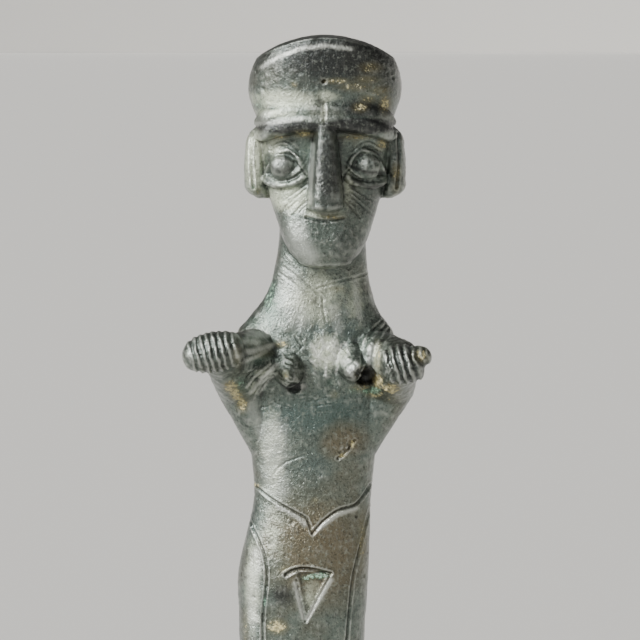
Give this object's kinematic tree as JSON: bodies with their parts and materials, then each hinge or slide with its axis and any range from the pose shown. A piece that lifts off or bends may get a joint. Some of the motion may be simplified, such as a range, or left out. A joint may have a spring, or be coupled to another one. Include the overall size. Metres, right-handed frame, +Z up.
{
  "type": "bronze figurine",
  "caption": "Small solid-cast bronze of a standing woman in a flat cap, with a schematic face, forearms held forward in fists and a chased girdle, on a low plate.",
  "frame": {"origin": "centre of the plate's underside, which is also the bottom centre of the bounding box", "axes": "+Z up through the figure; the figure faces -Y; +X towards the figure's own left hand, on the right of a front view"},
  "size_m": [0.04, 0.034, 0.1501],
  "materials": {
    "bronze": "dark green-grey patina, semi-gloss, finely pitted, with ochre and pale green deposits"
  },
  "bodies": {
    "root": {"figurine": "bronze"}
  },
  "joints": []
}
